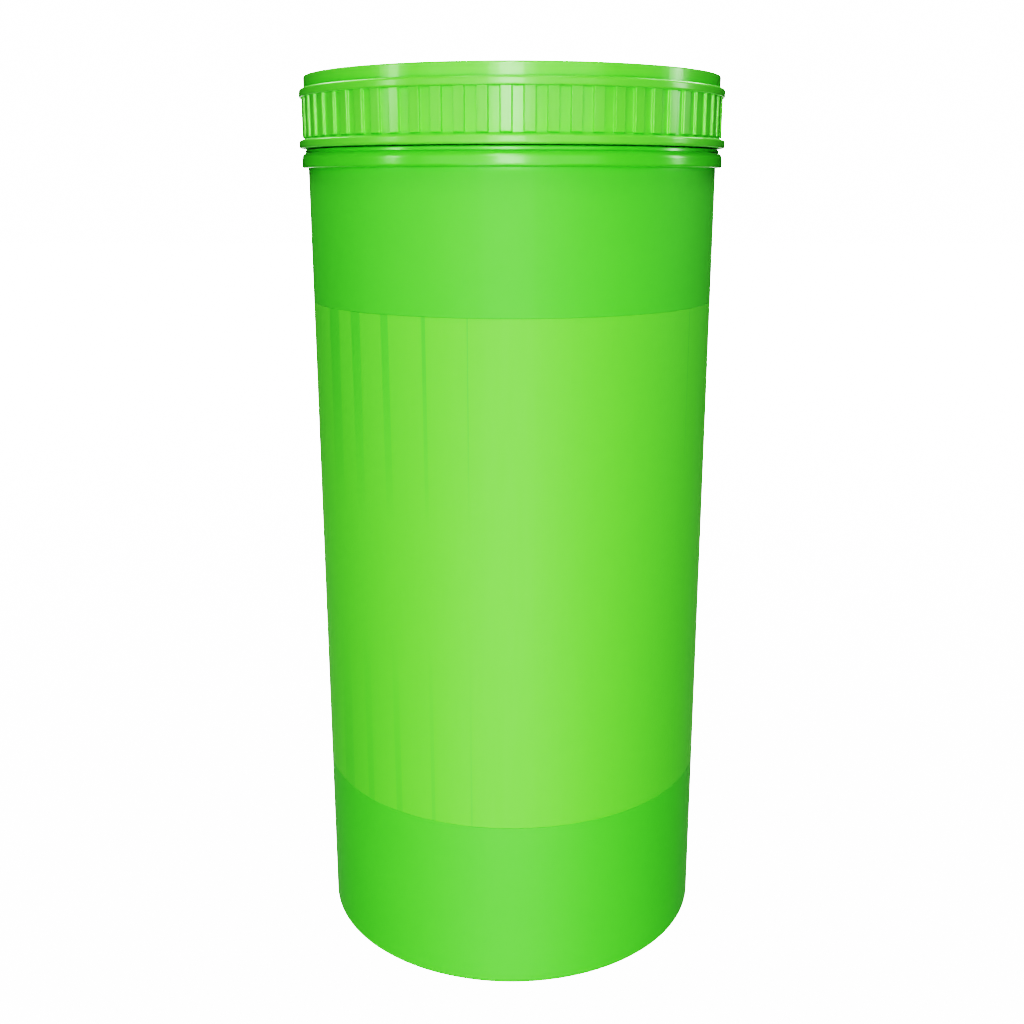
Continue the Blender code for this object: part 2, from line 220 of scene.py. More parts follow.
def spun(profile, angles, swell=None, centre=(0.0, 0.0)):
    """The profile carried round the axis: x = r sin(angle), y = -r cos(angle).

    swell gives the radius as a function of angle, radius and height, all on the grid.
    """
    radius = profile[:, :1] + 0 * angles[None]
    height = profile[:, 1:] + 0 * angles[None]
    if swell:
        radius = swell(angles[None], radius, height)
    x = centre[0] + radius * np.sin(angles)
    y = centre[1] - radius * np.cos(angles)
    return np.stack([x, y, height], axis=2)


def even(columns):
    return np.arange(columns) * TURN / columns


def turned(name, corners, angles=96, closed=False, swell=None, centre=(0.0, 0.0), wrap=None):
    """A turned or moulded round piece, from the corners of its section.

    angles are the columns' angles, or how many even ones there are.
    """
    if isinstance(angles, int):
        angles = even(angles)
    grid = spun(outline(corners, closed), angles, swell, centre)
    return mesh_object(name, grid, closed, wrap)


def ease(share):
    """From 0 to 1 with a level start and end: 3t^2 - 2t^3."""
    t = np.clip(share, 0, 1)
    return t * t * (3 - 2 * t)


def thread_height(angle, height, low, first, last):
    """How much of a screw thread's height stands at each angle and height.

    The ridge's centre climbs one pitch a turn from height low at the +X side, anticlockwise seen
    from above, and stands from turn first to turn last. Its section is a trapezoid with eased
    corners, and it fades in and out at its ends.
    """
    along = ((angle - TURN / 4) / TURN) % 1
    lift = height - low
    turn = np.round((lift / PITCH) - along) + along
    off = np.abs(lift - turn * PITCH)
    flank = (THREAD_ROOT / 2 - off) / ((THREAD_ROOT - THREAD_CREST) / 2)
    ends = np.minimum(turn - first, last - turn) / THREAD_FADE
    return ease(flank) * ease(ends)


# ---------------------------------------------------------------- materials

def linear(code):
    """An sRGB hex colour as linear RGBA."""
    parts = np.array([int(code[i : i + 2], 16) for i in (1, 3, 5)]) / 255
    values = np.where(parts <= 0.04045, parts / 12.92, ((parts + 0.055) / 1.055) ** 2.4)
    return (*values.tolist(), 1.0)


def new_material(name):
    """A material's node tree and its shader, and the node that gives positions on the piece."""
    material = bpy.data.materials.new(name)
    material.use_nodes = True
    tree = material.node_tree
    return tree, tree.nodes["Principled BSDF"], add(tree, "ShaderNodeTexCoord")


def add(tree, kind, links=(), **settings):
    """Adds a node, sets it, and links or sets its inputs, given as (input, socket or value)."""
    new = tree.nodes.new(kind)
    for name, value in settings.items():
        setattr(new, name, value)
    for name, value in links:
        if isinstance(value, bpy.types.NodeSocket):
            tree.links.new(value, new.inputs[name])
        else:
            new.inputs[name].default_value = value
    return new


def put(shader, **values):
    """Sets the shader's own sockets, with _ for a space in their names."""
    for name, value in values.items():
        shader.inputs[name.replace("_", " ")].default_value = value


def moulded_polypropylene(name, colour, deep, roughness, peel, haze=0.03, polished=None):
    """Injection-moulded glossy polypropylene.

    The eye gets an even colour with a slight cloudiness from the pigment's flow, and a gloss that
    a fine orange peel of about a millimetre breaks up. peel is the height of that orange peel,
    and haze how far it changes the roughness. polished is (height, roughness): above that height
    the mould was polished to that roughness.
    """
    flow_width, peel_width = 34 * MM, 1.1 * MM
    tree, shader, place = new_material(name)
    position = place.outputs["Object"]
    flow = add(tree, "ShaderNodeTexNoise", [
        ("Vector", position), ("Scale", 1 / flow_width), ("Detail", 3.0),
    ])
    clouds = add(tree, "ShaderNodeMapRange", [
        ("Value", flow.outputs["Fac"]), ("From Min", 0.35), ("From Max", 0.65),
    ])
    blend = add(tree, "ShaderNodeMix", [
        (FACTOR, clouds.outputs["Result"]),
        (FIRST_COLOUR, linear(deep)), (SECOND_COLOUR, linear(colour)),
    ], data_type="RGBA")
    skin = add(tree, "ShaderNodeTexNoise", [
        ("Vector", position), ("Scale", 1 / peel_width), ("Detail", 2.0),
    ])
    gloss = add(tree, "ShaderNodeMapRange", [
        ("Value", skin.outputs["Fac"]), ("From Min", 0.3), ("From Max", 0.7),
        ("To Min", roughness - haze), ("To Max", roughness + haze),
    ])
    bump = add(tree, "ShaderNodeBump", [
        ("Height", skin.outputs["Fac"]), ("Strength", 0.5), ("Distance", peel),
    ])
    sheen = gloss.outputs["Result"]
    if polished:
        from_height, roughness_there = polished
        axes = add(tree, "ShaderNodeSeparateXYZ", [("Vector", position)])
        above = add(tree, "ShaderNodeMapRange", [
            ("Value", axes.outputs["Z"]),
            ("From Min", from_height - 1 * MM), ("From Max", from_height),
            ("To Min", 0.0), ("To Max", 1.0),
        ])
        sheen = add(tree, "ShaderNodeMix", [
            (FACTOR, above.outputs["Result"]), (FIRST, sheen), (SECOND, roughness_there),
        ]).outputs[MIXED]
    tree.links.new(blend.outputs[MIXED_COLOUR], shader.inputs["Base Color"])
    tree.links.new(sheen, shader.inputs["Roughness"])
    tree.links.new(bump.outputs["Normal"], shader.inputs["Normal"])
    put(shader, IOR=1.49)
    return bpy.data.materials[name]


# A window left clear in the print: its middle in degrees round from the front and its half width,
# at the label's top and at its bottom
CLEAR_STRIPES = (
    (-11.25, 0.12 * MM, -11.25, 0.25 * MM),
    (-23.05, 0.51 * MM, -22.5, 0.50 * MM),
    (-35.0, 1.14 * MM, -33.9, 0.98 * MM),
    (-45.9, 1.77 * MM, -45.2, 1.20 * MM),
    (-56.5, 2.60 * MM, -57.0, 2.70 * MM),
    (56.25, 0.14 * MM, 56.25, 0.10 * MM),
)
STRIPE_EDGE = 0.08 * MM  # half the width over which a window's edge blends
STRIPE_START, STRIPE_FULL = 14 * MM, 58 * MM  # from the label's middle up or down
STRIPE_TOP_SHARE = 0.9
STRIPE_LOW_SHARE = 0.42  # of what a window shows in the upper half


def printed_film(name, ink, bare, roughness, low, high, radius):
    """Printed polypropylene film, stuck on flat.

    The eye gets a slightly brighter, smoother green than the moulding's, and narrow upright
    stripes left clear in the print, through which the jar's own green shows. They fade out
    half way up. The grain is the film's faint stretch marks, finer than a millimetre.
    """
    grain_width = 0.8 * MM
    grain_height = 0.004 * MM
    middle_height = (low.z + high.z) / 2
    tree, shader, place = new_material(name)
    wrap = add(tree, "ShaderNodeUVMap", uv_map="wrap")
    axes = add(tree, "ShaderNodeSeparateXYZ", [("Vector", wrap.outputs["UV"])])
    round_by, up_by = axes.outputs["X"], axes.outputs["Y"]
    from_low_to_high = [("Value", up_by), ("From Min", low.z), ("From Max", high.z)]
    clear = None
    for top_angle, top_half, low_angle, low_half in CLEAR_STRIPES:
        middle = add(tree, "ShaderNodeMapRange", [
            *from_low_to_high,
            ("To Min", math.radians(low_angle) * radius),
            ("To Max", math.radians(top_angle) * radius),
        ])
        half = add(tree, "ShaderNodeMapRange", [
            *from_low_to_high, ("To Min", low_half), ("To Max", top_half),
        ])
        off = add(tree, "ShaderNodeMath", [
            (0, round_by), (1, middle.outputs["Result"]),
        ], operation="SUBTRACT")
        gap = add(tree, "ShaderNodeMath", [(0, off.outputs[0])], operation="ABSOLUTE")
        past = add(tree, "ShaderNodeMath", [
            (0, gap.outputs[0]), (1, half.outputs["Result"]),
        ], operation="SUBTRACT")
        inside = add(tree, "ShaderNodeMapRange", [
            ("Value", past.outputs[0]), ("From Min", -STRIPE_EDGE), ("From Max", STRIPE_EDGE),
            ("To Min", 1.0), ("To Max", 0.0),
        ])
        stripe = inside.outputs["Result"]
        if clear:
            both = add(tree, "ShaderNodeMath", [(0, clear), (1, stripe)], operation="MAXIMUM")
            stripe = both.outputs[0]
        clear = stripe
    level = add(tree, "ShaderNodeMath", [(0, up_by), (1, middle_height)], operation="SUBTRACT")
    away = add(tree, "ShaderNodeMath", [(0, level.outputs[0])], operation="ABSOLUTE")
    shown = add(tree, "ShaderNodeMapRange", [
        ("Value", away.outputs[0]), ("From Min", STRIPE_START), ("From Max", STRIPE_FULL),
        ("To Min", 0.0), ("To Max", STRIPE_TOP_SHARE),
    ])
    stronger = add(tree, "ShaderNodeMapRange", [
        ("Value", level.outputs[0]), ("From Min", -10 * MM), ("From Max", 10 * MM),
        ("To Min", STRIPE_LOW_SHARE), ("To Max", 1.0),
    ])
    fading = add(tree, "ShaderNodeMath", [
        (0, shown.outputs["Result"]), (1, stronger.outputs["Result"]),
    ], operation="MULTIPLY")
    share = add(tree, "ShaderNodeMath", [
        (0, clear), (1, fading.outputs[0]),
    ], operation="MULTIPLY")
    blend = add(tree, "ShaderNodeMix", [
        (FACTOR, share.outputs[0]), (FIRST_COLOUR, linear(ink)), (SECOND_COLOUR, linear(bare)),
    ], data_type="RGBA")
    stretch = add(tree, "ShaderNodeMapping", [
        ("Vector", place.outputs["Object"]), ("Scale", (1.0, 1.0, 0.05)),
    ])
    grain = add(tree, "ShaderNodeTexNoise", [
        ("Vector", stretch.outputs["Vector"]), ("Scale", 1 / grain_width), ("Detail", 2.0),
    ])
    gloss = add(tree, "ShaderNodeMapRange", [
        ("Value", grain.outputs["Fac"]), ("From Min", 0.3), ("From Max", 0.7),
        ("To Min", roughness - 0.02), ("To Max", roughness + 0.02),
    ])
    bump = add(tree, "ShaderNodeBump", [
        ("Height", grain.outputs["Fac"]), ("Strength", 0.3), ("Distance", grain_height),
    ])
    tree.links.new(blend.outputs[MIXED_COLOUR], shader.inputs["Base Color"])
    tree.links.new(gloss.outputs["Result"], shader.inputs["Roughness"])
    tree.links.new(bump.outputs["Normal"], shader.inputs["Normal"])
    put(shader, IOR=1.49)
    return bpy.data.materials[name]


def stainless_steel(name):
    """Turned and ground stainless steel.

    The eye gets a grey metal whose fine tool marks run round the piece and blur its reflections.
    """
    mark_width = 0.35 * MM
    mark_depth = 0.001 * MM
    tree, shader, place = new_material(name)
    marks = add(tree, "ShaderNodeMapping", [
        ("Vector", place.outputs["Object"]), ("Scale", (0.02, 0.02, 1.0)),
    ])
    lines = add(tree, "ShaderNodeTexNoise", [
        ("Vector", marks.outputs["Vector"]), ("Scale", 1 / mark_width), ("Detail", 2.0),
    ])
    blur = add(tree, "ShaderNodeMapRange", [
        ("Value", lines.outputs["Fac"]), ("To Min", 0.27), ("To Max", 0.39),
    ])
    bump = add(tree, "ShaderNodeBump", [
        ("Height", lines.outputs["Fac"]), ("Strength", 0.3), ("Distance", mark_depth),
    ])
    tree.links.new(blur.outputs["Result"], shader.inputs["Roughness"])
    tree.links.new(bump.outputs["Normal"], shader.inputs["Normal"])
    put(shader, Base_Color=linear("#CFD1D2"), Metallic=1.0)
    return bpy.data.materials[name]


def moulded_rubber(name, colour, bloom):
    """Compression-moulded rubber.

    The eye gets a dull skin with a grain of half a millimetre and a slightly paler bloom in
    patches.
    """
    grain_width, grain_height = 0.5 * MM, 0.03 * MM
    patch_width = 9 * MM
    tree, shader, place = new_material(name)
    position = place.outputs["Object"]
    grain = add(tree, "ShaderNodeTexNoise", [
        ("Vector", position), ("Scale", 1 / grain_width), ("Detail", 3.0),
    ])
    patches = add(tree, "ShaderNodeTexNoise", [
        ("Vector", position), ("Scale", 1 / patch_width), ("Detail", 2.0),
    ])
    blend = add(tree, "ShaderNodeMix", [
        (FACTOR, patches.outputs["Fac"]),
        (FIRST_COLOUR, linear(colour)), (SECOND_COLOUR, linear(bloom)),
    ], data_type="RGBA")
    dull = add(tree, "ShaderNodeMapRange", [
        ("Value", grain.outputs["Fac"]), ("To Min", 0.62), ("To Max", 0.82),
    ])
    bump = add(tree, "ShaderNodeBump", [
        ("Height", grain.outputs["Fac"]), ("Strength", 0.5), ("Distance", grain_height),
    ])
    tree.links.new(blend.outputs[MIXED_COLOUR], shader.inputs["Base Color"])
    tree.links.new(dull.outputs["Result"], shader.inputs["Roughness"])
    tree.links.new(bump.outputs["Normal"], shader.inputs["Normal"])
    put(shader, IOR=1.52)
    return bpy.data.materials[name]


def assign(obj, material):
    obj.data.materials.clear()
    obj.data.materials.append(material)


def fit(obj, body, node, material):
    """The piece stands for a CAD node, rides with its body and takes the given material."""
    assign(obj, material)
    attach(obj, body)
    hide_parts(node)


JAR_GREEN = "#64E743"
# The wall is left satin by its mould, and the bead and the neck are polished
GREEN_JAR = moulded_polypropylene(
    "moulded_polypropylene_jar", JAR_GREEN, "#62E541", 0.60, 0.002 * MM, 0.015,
    (BEAD_FOOT - 0.1 * MM, 0.22),
)
# The lid is the jar's plastic in a lighter, yellower green. That is partly its own moulding's
# shade and partly painted sheen, which stands for the pale veil of light that the lid's higher
# surfaces catch from above.
LID_GREEN_WITH_PAINTED_SHEEN = moulded_polypropylene(
    "moulded_polypropylene_lid", "#78F153", "#76F051", 0.23, 0.0015 * MM, 0.01,
)
LABEL_FILM = printed_film(
    "printed_film_label", "#76F54B", JAR_GREEN, 0.60, *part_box("label"), WALL,
)
BASKET_PLASTIC = moulded_polypropylene(
    "moulded_polypropylene_white", "#D6D8D2", "#D0D2CB", 0.38, 0.012 * MM,
)
NYLON = moulded_polypropylene("moulded_nylon_natural", "#E6E1D0", "#E0DAC6", 0.42, 0.008 * MM)
STAINLESS = stainless_steel("turned_stainless_steel")
SEAL_RUBBER = moulded_rubber("moulded_nitrile_rubber", "#4A4D4D", "#525555")
FOOT_RUBBER = moulded_rubber("moulded_foot_rubber", "#3B3D3E", "#454748")


# ---------------------------------------------------------------- jar

def make_jar():
    """Thin wall, seat for the label, bead, stepped neck and a foot ring.

    Its profile is turned, and the thread is a ridge that the neck's radius grows by.
    """
    low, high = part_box("jar_body")
    label_low, label_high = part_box("label")
    seat_top = label_high.z + LABEL_GAP
    seat_end = label_low.z - LABEL_GAP
    inside, floor_top = 51.1 * MM, 4.2 * MM
    throat, mouth = 48.4 * MM, 225.8 * MM
    collar, neck_foot = 53.9 * MM, 215.3 * MM
    bead_top = 214.3 * MM
    recess = 1.5 * MM
    thread_start = 216.8 * MM
    thread_depth = 1.05 * MM

    def swell(angle, radius, height):
        on_neck = (radius > NECK - 0.4 * MM) & (radius < NECK + 0.2 * MM)
        on_neck &= height > neck_foot - 0.3 * MM
        return radius + on_neck * thread_height(angle, height, thread_start, 0, 1.4) * thread_depth

    return turned("jar_shell", [
        (0, floor_top),
        (inside, floor_top, 3 * MM),
        (inside, 204 * MM, 4 * MM),
        (throat, 210.5 * MM, 3 * MM),
        (throat, mouth, 0.5 * MM),
        (NECK, mouth, 0.5 * MM, 90),
        (NECK, neck_foot, 0.2 * MM),
        (collar, neck_foot, 0.3 * MM),
        (collar, bead_top, 0.15 * MM),
        (54.40 * MM, bead_top, 0.35 * MM),
        (54.84 * MM, 213.4 * MM, 2.2 * MM),
        (high.x, BEAD_FOOT, 0.5 * MM),
        (WALL, BEAD_FOOT, 0.15 * MM),
        (WALL, seat_top, 0.08 * MM),
        (SEAT, seat_top, 0.08 * MM),
        (SEAT, seat_end, 0.08 * MM),
        (WALL, seat_end, 0.08 * MM),
        (WALL, low.z, 1.2 * MM),
        (46 * MM, low.z, 0.4 * MM),
        (44.5 * MM, recess, 0.6 * MM),
        (0, recess),
    ], 360, swell=swell)


fit(make_jar(), "jar", "jar_body", GREEN_JAR)


def make_label():
    """A printed film wrapped once round, whose end laps over its start at the back.

    Over the lap, the outer radius grows by the film's step, eased in from the lap's start and
    dropped at its end, where two columns stand close together.
    """
    low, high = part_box("label")
    radius = high.x
    thickness = 0.3 * MM
    edge = 0.05 * MM
    lap, step = 8 * MM, 0.06 * MM
    top = high.z + LABEL_REACH
    bottom = low.z - LABEL_REACH

    def swell(angle, r, height):
        before = (math.pi - angle) * radius
        raised = (before > 0) * ease(1.4 * (1 - before / lap))
        return r + step * raised * (r > radius - 0.1 * MM)

    lap_end = math.pi - np.array([0.0002, 0.0012])
    angles = np.sort(np.concatenate([even(360), lap_end]))
    return turned("label_wrap", [
        (radius, top, edge),
        (radius, bottom, edge),
        (radius - thickness, bottom, edge),
        (radius - thickness, top, edge),
    ], angles, closed=True, swell=swell, wrap=TURN * radius)


fit(make_label(), "jar", "label", LABEL_FILM)


# ---------------------------------------------------------------- cap

RIB_EDGE = 0.266  # of a rib's pitch, from its middle to the end of its flank
RIB_FLANK = 0.032  # of a rib's pitch, the width of a flank


def grip_columns():
    """Angles of the columns round the cap: five at each flank of a rib, and none between."""
    flank = np.array([0.214, 0.234, 0.250, 0.266, 0.286])
    shares = np.concatenate([flank, 1 - flank[::-1]])
    ribs = np.arange(RIB_COUNT)[:, None] + shares[None] - 0.5 + RIB_OFFSET
    return np.sort((ribs.ravel() * TURN / RIB_COUNT) % TURN)


def make_cap():
    """Panel, rim, two beads, grip ribs, skirt, inner thread and the boss of the swivel.

    A rib lifts the groove's radius where the angle is within a quarter pitch of the rib's middle,
    with an eased flank, and dies out along the upper bead's underside and at its own lower end.
    The thread is a ridge that the bore's radius shrinks by.
    """
    low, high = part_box("lid_shell")
    bore = 51.9 * MM
    rim, bead = 53.8 * MM, 55.05 * MM
    panel_top, panel_under = 230.2 * MM, 228.0 * MM
    bead_top, bead_under = 230.05 * MM, 228.0 * MM
    rib_low, rib_ramp = 218.145 * MM, 0.15 * MM
    under_end = 54.75 * MM
    skirt = 215.6 * MM
    boss, boss_bore = 10.6 * MM, 8.0 * MM
    snap_groove = 215.9 * MM
    thread_start, thread_depth = 214.9 * MM, 1.15 * MM
    hair = 0.01 * MM

    def swell(angle, r, height):
        share = (angle * RIB_COUNT / TURN - RIB_OFFSET + 0.5) % 1
        flank = ease((RIB_EDGE - np.abs(share - 0.5)) / RIB_FLANK)
        start = ease((height - rib_low) / rib_ramp)
        room = np.clip((under_end - r) / (under_end - GROOVE), 0, 1)
        on_grip = (r > GROOVE - hair) & (height < bead_under + hair) & (height > rib_low)
        ridge = thread_height(angle, height, thread_start, 0.45, 1.35)
        on_bore = (np.abs(r - bore) < 0.05 * MM) & (height < panel_under - 1 * MM)
        return r + on_grip * RIB_HEIGHT * flank * start * room - on_bore * ridge * thread_depth

    return turned("screw_cap", [
        (0, panel_top),
        (bore, panel_top, 0.6 * MM),
        (bore, high.z, 0.4 * MM),
        (rim, high.z, 0.35 * MM),
        (rim, bead_top, 0.12 * MM),
        (bead, bead_top, 0.6 * MM),
        (bead, bead_under, 0.3 * MM),
        (GROOVE, bead_under, 0.12 * MM, 1),
        (GROOVE, 218.45 * MM, 0, 2),
        (GROOVE, 218.1 * MM, 0.06 * MM),
        (high.x, 217.5 * MM, 0.4 * MM),
        (high.x, skirt, 0.5 * MM),
        (bore, skirt, 0.3 * MM, 38),
        (bore, panel_under, 0.3 * MM),
        (boss, panel_under, 0.8 * MM),
        (boss, low.z, 0.2 * MM),
        (boss_bore, low.z, 0.2 * MM),
        (boss_bore, snap_groove - 0.8 * MM),
        (boss_bore + 0.8 * MM, snap_groove),
        (boss_bore, snap_groove + 0.8 * MM),
        (boss_bore, 227.2 * MM, 0.5 * MM),
        (0, 227.2 * MM),
    ], grip_columns(), swell=swell)


def make_gasket():
    """A flat seal with a shallow groove in the face that meets the jar's mouth."""
    low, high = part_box("lid_gasket")
    inner = 47.0 * MM
    groove_top = low.z + 0.3 * MM
    return turned("sealing_ring", [
        (high.x, high.z, 0.2 * MM),
        (high.x, low.z, 0.3 * MM),
        (50.5 * MM, low.z, 0.15 * MM),
        (50.1 * MM, groove_top, 0.15 * MM),
        (48.5 * MM, groove_top, 0.15 * MM),
        (48.1 * MM, low.z, 0.15 * MM),
        (inner, low.z, 0.3 * MM),
        (inner, high.z, 0.2 * MM),
    ], 240, closed=True)


def make_bush():
    """The flanged bush with its snap bead."""
    low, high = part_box("swivel_bush")
    outside = 7.7 * MM
    flange = low.z + 1.6 * MM
    snap, snap_reach = 215.9 * MM, 0.8 * MM
    return turned("snap_bush", [
        (outside, high.z, 0.4 * MM),
        (outside, snap + snap_reach, 0.2 * MM),
        (8.4 * MM, snap, 0.2 * MM),
        (outside, snap - snap_reach, 0.2 * MM),
        (outside, flange, 0.1 * MM),
        (high.x, flange, 0.15 * MM),
        (high.x, low.z, 0.4 * MM),
        (ROD_BORE, low.z, 0.2 * MM),
        (ROD_BORE, high.z, 0.2 * MM),
    ], 96, closed=True)


fit(make_cap(), "lid", "lid_shell", LID_GREEN_WITH_PAINTED_SHEEN)
fit(make_gasket(), "lid", "lid_gasket", SEAL_RUBBER)
fit(make_bush(), "swivel", "swivel_bush", NYLON)


# ---------------------------------------------------------------- basket

def make_rod():
    """A plain round bar with rounded ends."""
    low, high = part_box("lift_rod")
    return turned("ground_rod", [
        (0, high.z), (high.x, high.z, 0.5 * MM), (high.x, low.z, 0.5 * MM), (0, low.z),
    ], 64)


def make_button():
    """The rod's turned button, with a blind hole below."""
    low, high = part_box("rod_button")
    hole_end = high.z - 1.1 * MM
    return turned("turned_button", [
        (0, high.z),
        (high.x, high.z, 1.0 * MM),
        (high.x, low.z, 0.3 * MM),
        (ROD_BORE, low.z, 0.2 * MM),
        (ROD_BORE, hole_end, 0.2 * MM),
        (0, hole_end),
    ], 96)


def make_retainer():
    """A push-on ring: the bore's radius grows in six slots between the teeth that grip the rod."""
    low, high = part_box("guide_retainer")
    slot_depth = 1.3 * MM

    def swell(angle, r, height):
        slot = ease(1.5 * np.cos(6 * angle) - 0.4)
        return r + slot_depth * slot * (r < ROD_BORE + 0.6 * MM)

    return turned("push_on_ring", [
        (high.x, high.z, 0.4 * MM),
        (high.x, low.z, 0.15 * MM),
        (ROD_BORE, low.z, 0.1 * MM),
        (ROD_BORE, high.z, 0.2 * MM),
    ], 192, closed=True, swell=swell)


def make_tube(name, node, fillet):
    """A plain tube or washer round the rod, with eased edges."""
    low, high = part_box(node)
    return turned(name, [
        (high.x, high.z, fillet),
        (high.x, low.z, fillet),
        (ROD_BORE, low.z, fillet),
        (ROD_BORE, high.z, fillet),
    ], 96, closed=True)


def make_nut():
    """A thin hexagon nut: radius = flat / cos(angle from the nearest flat's middle).

    A cone at each end cuts the corners back: the radius there is at most 98% of the flat plus
    1.73 times the distance from the end.
    """
    low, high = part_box("tray_nut")
    flat = 5.0 * MM
    end_share, cone_slope = 0.98, 1.73

    def swell(angle, r, height):
        hexagon = flat / np.cos(angle % (TURN / 6) - TURN / 12)
        inside = np.minimum(high.z - height, height - low.z)
        cone = end_share * flat + cone_slope * inside
        outer = r > (end_share - 0.001) * flat
        return np.where(outer, np.minimum(hexagon, cone), r)

    nut = turned("hexagon_nut", [
        (end_share * flat, high.z, 0, 24),
        (end_share * flat, low.z),
        (ROD_BORE, low.z, 0.25 * MM),
        (ROD_BORE, high.z, 0.25 * MM),
    ], 144, closed=True, swell=swell)
    nut.data.set_sharp_from_angle(angle=math.radians(25))
    return nut


def make_foot(name, node, centre):
    """A push-in rubber foot: pad, stem and barb, turned about its own upright axis."""
    low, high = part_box(node)
    stem = 2.2 * MM
    pad_top, barb_low = 10.7 * MM, 13.7 * MM
    return turned(name, [
        (0, high.z),
        (1.4 * MM, high.z, 0.4 * MM),
        (3.4 * MM, barb_low, 0.3 * MM),
        (stem, barb_low, 0.2 * MM),
        (stem, pad_top, 0.2 * MM),
        (5.0 * MM, pad_top, 0.4 * MM),
        (4.4 * MM, low.z, 0.8 * MM),
        (0, low.z),
    ], 64, centre=centre)


def on_circle(radius, count, phase=0.0):
    """Points evenly round the axis, phase in steps past +X."""
    angles = (np.arange(count) + phase) * TURN / count
    return np.stack([radius * np.cos(angles), radius * np.sin(angles)], axis=1)


def pierced(name, node, hub_rise, holes):
    """A moulded plate with a hub and a low wall, pierced by holes with chamfered edges.

    holes is a list of (radius, centres). Each cutter is a turned plug that flares at 45 degrees
    above and below the plate, and a Boolean takes it out of the turned plate.
    """
    low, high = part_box(node)
    top = low.z + PLATE
    hub_top = top + hub_rise
    wall = high.x - PLATE_WALL
    plate = turned(name, [
        (high.x, high.z, 0.6 * MM),
        (high.x, low.z, 1.0 * MM),
        (ROD_BORE, low.z, 0.2 * MM),
        (ROD_BORE, hub_top, 0.2 * MM),
        (HUB, hub_top, 0.5 * MM),
        (HUB, top, 0.6 * MM),
        (wall, top, 0.8 * MM),
        (wall, high.z, 0.6 * MM),
    ], 180, closed=True)
    chamfer, beyond = 0.4 * MM, 1.0 * MM
    plugs = bpy.data.collections.new(name + "_plugs")
    bpy.context.scene.collection.children.link(plugs)
    for radius, centres in holes:
        mouth = radius + chamfer + beyond
        section = np.array([
            (0, top + beyond), (mouth, top + beyond), (radius, top - chamfer),
            (radius, low.z + chamfer), (mouth, low.z - beyond), (0, low.z - beyond),
        ])
        for index, centre in enumerate(centres):
            grid = spun(section, even(48), centre=centre)
            plug = mesh_object(f"{name}_plug_{radius}_{index}", grid)
            bpy.context.scene.collection.objects.unlink(plug)
            plugs.objects.link(plug)
    cut = plate.modifiers.new("holes", "BOOLEAN")
    cut.operand_type = "COLLECTION"
    cut.collection = plugs
    cut.solver = "EXACT"
    graph = bpy.context.evaluated_depsgraph_get()
    mesh = bpy.data.meshes.new_from_object(plate.evaluated_get(graph))
    plate.modifiers.clear()
    plate.data = mesh
    mesh.name = name
    for plug in list(plugs.objects):
        bpy.data.objects.remove(plug)
    bpy.data.collections.remove(plugs)
    mesh.shade_smooth()
    mesh.set_sharp_from_angle(angle=math.radians(32))
    return plate


FEET = on_circle(32.5 * MM, 3, 0.25)


def make_tray():
    """Drain holes on three rings, left out where a foot's pad is, and a hole for each foot."""
    drains = np.concatenate([
        on_circle(15.5 * MM, 6, 0.5), on_circle(27 * MM, 12, 0.5), on_circle(39 * MM, 18, 0.5),
    ])
    away = np.linalg.norm(drains[:, None] - FEET[None], axis=2).min(axis=1)
    return pierced("drain_tray", "base_tray", 4.6 * MM, [
        (3.5 * MM, drains[away > 9.5 * MM]), (2.5 * MM, FEET),
    ])


def make_guide():
    """Six large openings that combs and scissors stand in."""
    openings = on_circle(29.5 * MM, 6)
    return pierced("guide_disc", "tool_guide", 3.6 * MM, [(11.5 * MM, openings)])


fit(make_rod(), "basket", "lift_rod", STAINLESS)
fit(make_button(), "basket", "rod_button", STAINLESS)
fit(make_retainer(), "basket", "guide_retainer", STAINLESS)
spacer = make_tube("spacer_sleeve", "spacer_tube", 0.2 * MM)
fit(spacer, "basket", "spacer_tube", STAINLESS)
washer = make_tube("flat_washer", "tray_washer", 0.25 * MM)
fit(washer, "basket", "tray_washer", STAINLESS)
fit(make_nut(), "basket", "tray_nut", STAINLESS)
fit(make_tray(), "basket", "base_tray", BASKET_PLASTIC)
fit(make_guide(), "basket", "tool_guide", BASKET_PLASTIC)
for number, centre in enumerate(FEET, 1):
    foot = make_foot(f"rubber_foot_{number}", f"tray_foot_{number}", centre)
    fit(foot, "basket", f"tray_foot_{number}", FOOT_RUBBER)


# ---------------------------------------------------------------- floor, light and camera

PAPER_NEAR, PAPER_FAR = 9.0, 16.0  # glow of the floor beside the jar and far from it
BACKDROP = 16.0
SOFT_GLOW = 0.015
AIM = 0.15  # height that the lamps face


def make_floor():
    """A pale sweep of paper that glows, so that it stays near white, and more so far away.

    It hides no lamp, so a card below it can stand for the light that a white table throws up.
    """
    side = 4.0
    corners = [(-side, -side, 0), (side, -side, 0), (side, side, 0), (-side, side, 0)]
    mesh = bpy.data.meshes.new("paper_floor")
    mesh.from_pydata(corners, [], [(0, 1, 2, 3)])
    floor = bpy.data.objects.new("paper_floor", mesh)
    bpy.context.scene.collection.objects.link(floor)
    tree, shader, place = new_material("white_paper")
    away = add(tree, "ShaderNodeVectorMath", [(0, place.outputs["Object"])], operation="LENGTH")
    glow = add(tree, "ShaderNodeMapRange", [
        ("Value", away.outputs["Value"]), ("From Min", 0.1), ("From Max", 1.2),
        ("To Min", PAPER_NEAR), ("To Max", PAPER_FAR),
    ])
    tree.links.new(glow.outputs["Result"], shader.inputs["Emission Strength"])
    put(shader, Base_Color=linear("#F4F4F2"), Emission_Color=(1, 1, 1, 1), Roughness=0.9)
    assign(floor, bpy.data.materials["white_paper"])
    floor.visible_diffuse = False
    floor.visible_glossy = False
    floor.visible_shadow = False


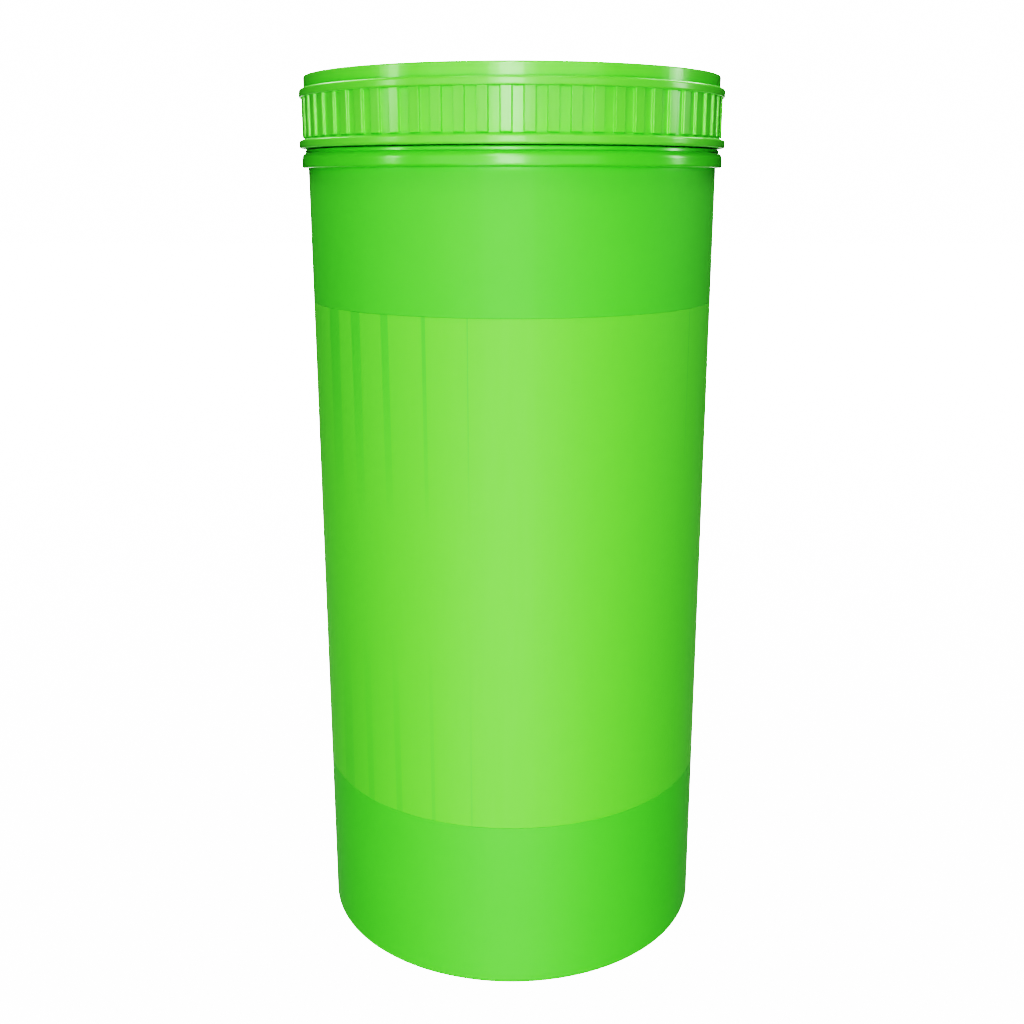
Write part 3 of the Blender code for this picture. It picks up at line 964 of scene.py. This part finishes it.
def make_world():
    """Even soft light from all round, behind which the camera sees white paper."""
    world = bpy.data.worlds.new("studio")
    world.use_nodes = True
    bpy.context.scene.world = world
    tree = world.node_tree
    soft = tree.nodes["Background"]
    soft.inputs["Strength"].default_value = SOFT_GLOW
    paper = add(tree, "ShaderNodeBackground", [("Strength", BACKDROP)])
    seen = add(tree, "ShaderNodeLightPath")
    mix = add(tree, "ShaderNodeMixShader", [
        (0, seen.outputs["Is Camera Ray"]), (1, soft.outputs[0]), (2, paper.outputs[0]),
    ])
    tree.links.new(mix.outputs[0], tree.nodes["World Output"].inputs["Surface"])


def softbox(name, azimuth, elevation, distance, width, height, radiance, gloss_only=False):
    """A lamp panel that faces the jar's upper half, whose power gives its face that radiance.

    Azimuth 0 is in front and grows towards +X, in degrees. A gloss_only panel shows in
    reflections and gives no light of its own.
    """
    light = bpy.data.lights.new(name, "AREA")
    light.shape = "RECTANGLE"
    light.size = width
    light.size_y = height
    light.energy = radiance * math.pi * width * height
    lamp = bpy.data.objects.new(name, light)
    bpy.context.scene.collection.objects.link(lamp)
    a, e = math.radians(azimuth), math.radians(elevation)
    lamp.location = (
        distance * math.cos(e) * math.sin(a),
        -distance * math.cos(e) * math.cos(a),
        AIM + distance * math.sin(e),
    )
    lamp.rotation_euler = (math.pi / 2 - e, 0, a)
    lamp.visible_camera = False
    lamp.visible_diffuse = not gloss_only


def make_lamps():
    softbox("key", -4, 25, 1.3, 0.32, 0.34, 9.0)
    softbox("card", -3, -24, 1.0, 0.8, 0.45, 5.0)
    softbox("overhead", 0, 72, 0.9, 0.6, 0.3, 6.0)
    softbox("front_veil", 0, 13.5, 1.0, 2.0, 0.42, 1.7, gloss_only=True)
    softbox("front_low", -1, 8.5, 1.3, 0.30, 0.24, 13.0)
    softbox("left_gloss", -64, 12, 1.3, 0.11, 0.30, 16.0, gloss_only=True)
    softbox("right_gloss", 96, 12, 1.3, 0.11, 0.30, 16.0, gloss_only=True)
    softbox("back_left", -148, 42, 1.4, 0.8, 0.6, 7.5)
    softbox("back_right", 148, 42, 1.4, 0.8, 0.6, 7.5)
    softbox("back_gloss", 180, -22, 1.2, 0.8, 0.7, 4.0, gloss_only=True)
    softbox("back_low", 180, -34, 1.2, 2.0, 0.8, 0.6, gloss_only=True)


def make_camera():
    """In front, a little below the lid's rim, tilted down over the whole jar."""
    camera = bpy.data.objects.new("camera", bpy.data.cameras.new("camera"))
    bpy.context.scene.collection.objects.link(camera)
    camera.location = (0, -0.340, 0.2077)
    camera.rotation_euler = (math.radians(74.985), 0, 0)
    camera.data.lens = 43.43
    camera.data.sensor_width = 36
    camera.data.clip_start = 0.01
    bpy.context.scene.camera = camera


make_floor()
make_world()
make_lamps()
make_camera()
bpy.context.scene.view_settings.view_transform = "Filmic"
bpy.context.scene.view_settings.look = "Very High Contrast"
